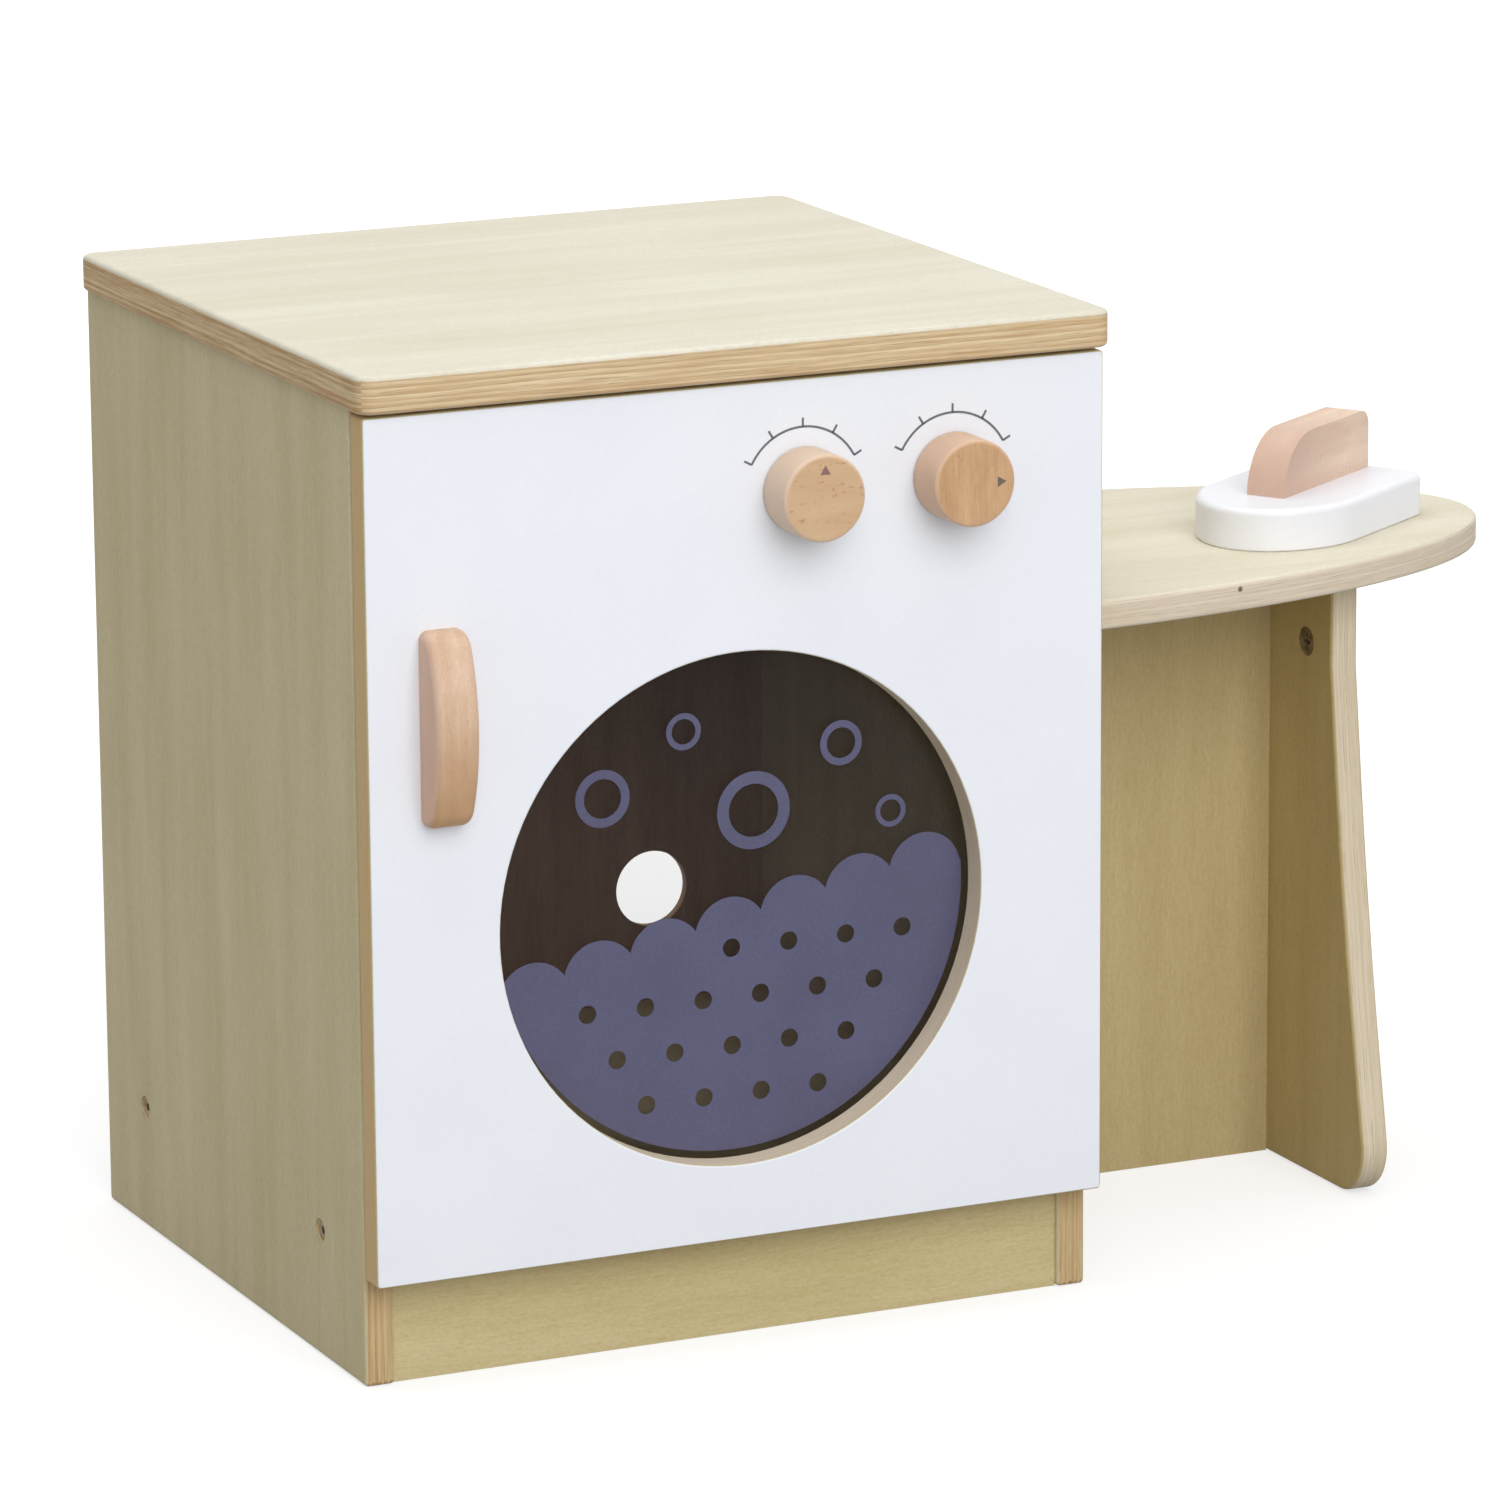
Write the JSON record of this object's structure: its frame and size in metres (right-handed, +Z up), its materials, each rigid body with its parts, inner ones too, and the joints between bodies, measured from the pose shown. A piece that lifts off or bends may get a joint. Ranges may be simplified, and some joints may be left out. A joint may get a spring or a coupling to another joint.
{
  "type": "toy washing machine",
  "caption": "Wooden play washing machine: a box cabinet with a hinged white door, round window and turning knobs, beside a half-oval ironing board with a loose toy iron.",
  "frame": {"origin": "on the floor, in the middle of the overall box", "axes": "+X to the right along the front, from the cabinet to the ironing board; +Y from the front to the back; +Z up"},
  "size_m": [0.688, 0.391, 0.488],
  "materials": {
    "ply_wood": "clear matt lacquer on birch plywood",
    "ply_top_wood": "clear matt lacquer on pale birch plywood",
    "white_painted_wood": "satin white paint on wood",
    "beech_wood": "oiled beech with eased edges",
    "smoked_acrylic": "clear smoked acrylic",
    "violet_print": "printed vinyl film",
    "screw_steel": "zinc plated steel",
    "zinc_steel": "dull zinc",
    "hinge_brass": "brass plated",
    "magnet_steel": "ferrite with steel poles",
    "cream_plastic": "moulded nylon",
    "grey_felt": "self-adhesive felt"
  },
  "bodies": {
    "cabinet": {"left_side": "ply_wood", "right_side": "ply_wood", "bottom_shelf": "ply_wood", "kick_board": "ply_wood", "back_panel": "ply_wood", "spine_panel": "ply_wood", "leg_panel": "ply_wood", "top_panel": "ply_top_wood", "ironing_board": "ply_top_wood", "top_dowels": "beech_wood", "back_screws": "screw_steel", "top_cam_bolts": "screw_steel", "kick_screws": "screw_steel", "hinge_pins": "screw_steel", "catch_screws": "screw_steel", "leg_cam_bolts": "screw_steel", "top_cams": "zinc_steel", "shelf_screws": "zinc_steel", "board_screws": "zinc_steel", "spine_screws": "zinc_steel", "leg_screws": "zinc_steel", "leg_cams": "zinc_steel", "hinge_frame_leaves": "hinge_brass", "hinge_frame_screws": "hinge_brass", "catch_magnet": "magnet_steel", "catch_body": "cream_plastic", "door_bumpers": "grey_felt"},
    "door": {"door_panel": "white_painted_wood", "window_pane": "smoked_acrylic", "window_print": "violet_print", "pane_screws": "screw_steel", "door_handle": "beech_wood", "handle_screws": "screw_steel", "hinge_door_leaves": "hinge_brass", "hinge_door_screws": "hinge_brass", "strike_plate": "screw_steel", "strike_screws": "screw_steel"},
    "knob_left": {"knob_left": "beech_wood", "knob_left_insert": "hinge_brass", "knob_left_bolt": "screw_steel", "knob_left_spacer": "cream_plastic", "knob_left_washer": "screw_steel"},
    "knob_right": {"knob_right": "beech_wood", "knob_right_insert": "hinge_brass", "knob_right_bolt": "screw_steel", "knob_right_spacer": "cream_plastic", "knob_right_washer": "screw_steel"},
    "iron": {"iron_body": "white_painted_wood", "iron_handle": "beech_wood", "iron_screws": "screw_steel"}
  },
  "joints": [
    {"name": "door_hinge", "type": "hinge", "parent": "cabinet", "child": "door", "pos_m": [0.0418, -0.1545, 0.2605], "axis": [0, 0, 1], "range_deg": [0, 180]},
    {"name": "knob_left_spin", "type": "hinge", "parent": "door", "child": "knob_left", "pos_m": [-0.119, -0.1705, 0.415], "axis": [0, -1, 0], "continuous": true},
    {"name": "knob_right_spin", "type": "hinge", "parent": "door", "child": "knob_right", "pos_m": [-0.041, -0.1705, 0.415], "axis": [0, -1, 0], "continuous": true},
    {"name": "iron_lift", "type": "slide", "parent": "cabinet", "child": "iron", "axis": [0, 0, 1], "range_m": [0, 0.15]}
  ]
}
